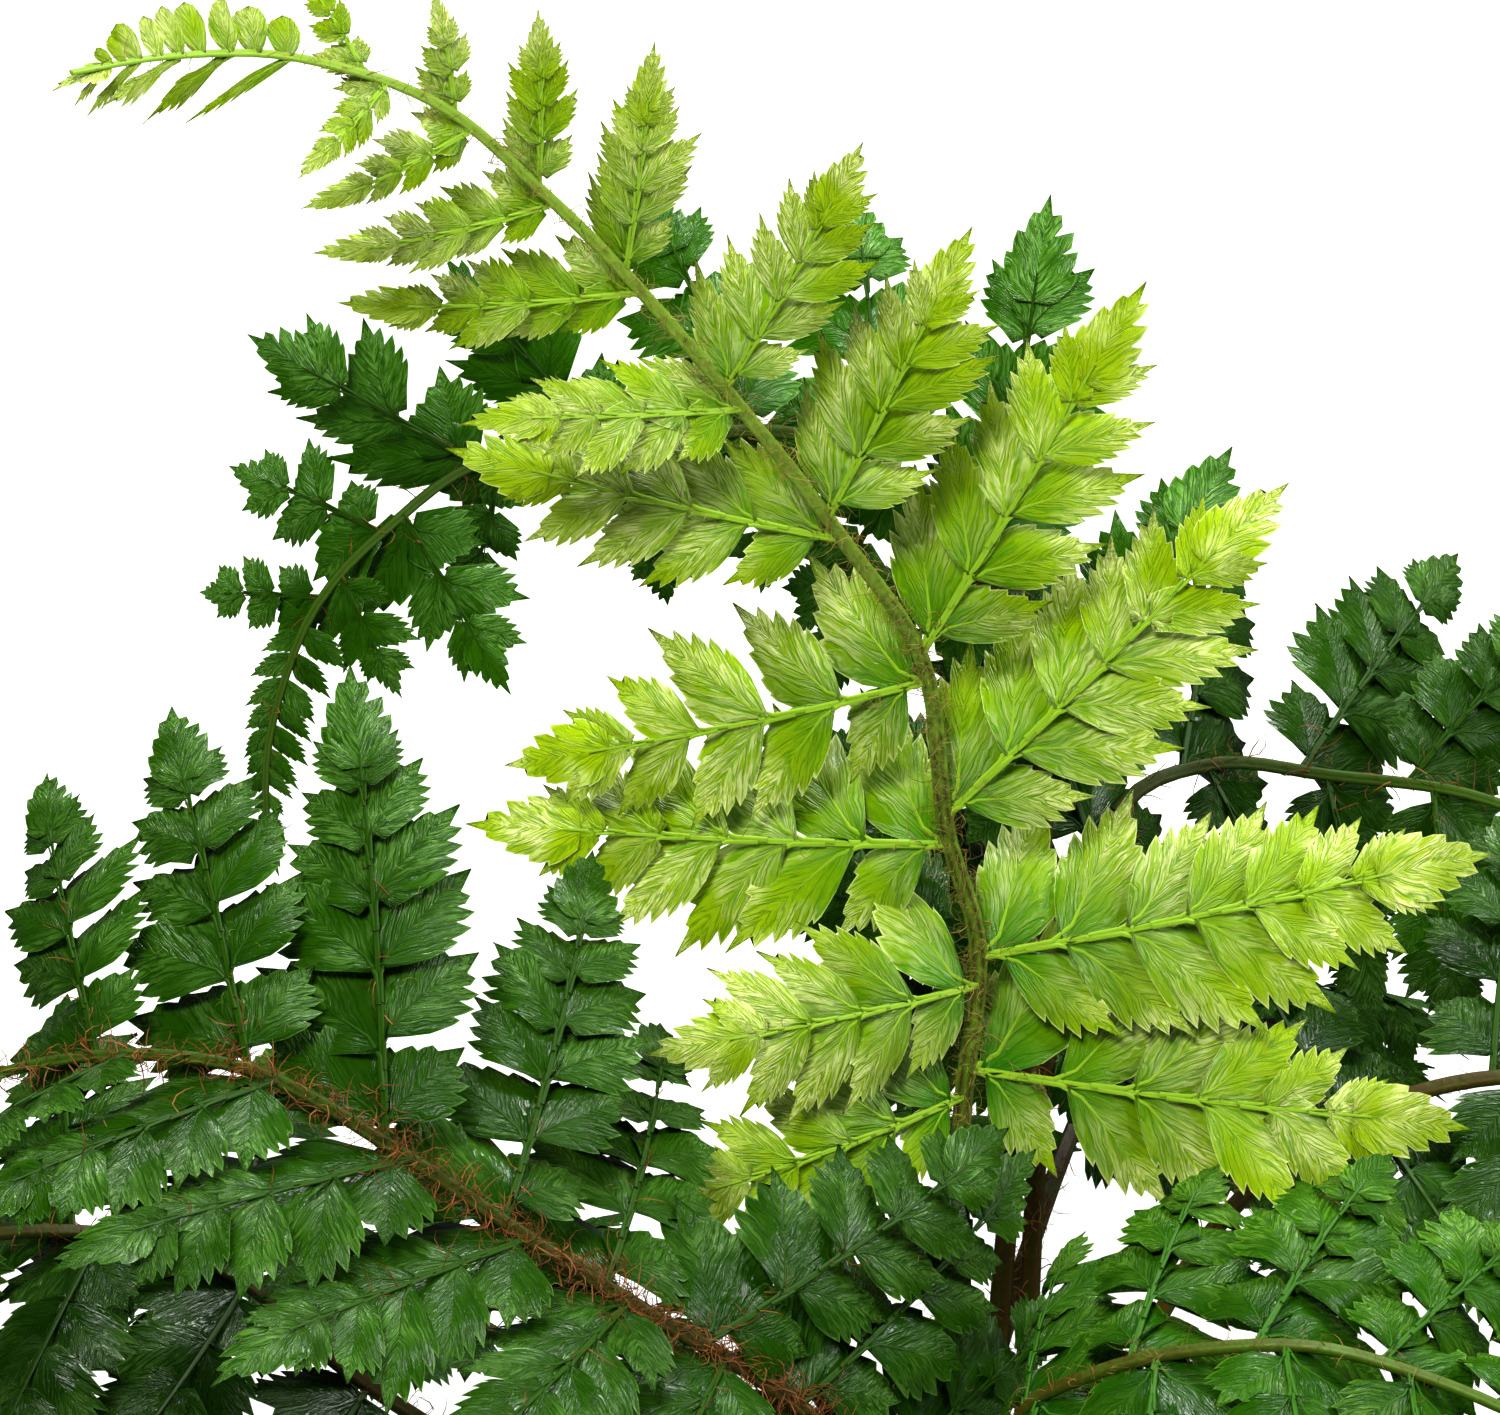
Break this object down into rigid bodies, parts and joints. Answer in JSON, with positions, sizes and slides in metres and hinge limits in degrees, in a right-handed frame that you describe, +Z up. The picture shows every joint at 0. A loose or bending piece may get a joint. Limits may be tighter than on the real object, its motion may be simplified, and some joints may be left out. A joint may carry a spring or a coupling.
{
  "type": "tassel fern",
  "caption": "Young tassel fern as lifted from its pot: a short scaly crown with a rosette of arching, glossy, twice-cut fronds, the youngest lime green and upright.",
  "frame": {"origin": "middle of the crown's flat cut underside, which stands on a surface", "axes": "+Z up, out of the crown; -Y towards the side with the tall young frond's upper face; +X to the right of that side"},
  "size_m": [0.3493, 0.333, 0.2728],
  "materials": {
    "lime_leaf": "satin",
    "green_leaf": "satin",
    "dark_leaf": "gloss",
    "rachis": "satin",
    "scales": "matt",
    "rhizome": "matt"
  },
  "bodies": {
    "root": {"crown": "rhizome", "frond_lime_tall": "lime_leaf", "frond_dark_behind": "dark_leaf", "frond_dark_right_back": "dark_leaf", "frond_dark_right": "dark_leaf", "frond_green_right_front": "green_leaf", "frond_dark_left_front": "dark_leaf", "frond_dark_left_low": "dark_leaf", "frond_lime_right_front": "lime_leaf", "frond_green_front": "green_leaf", "frond_green_left_front": "green_leaf", "frond_dark_left_back": "dark_leaf", "frond_dark_back": "dark_leaf"}
  },
  "joints": []
}
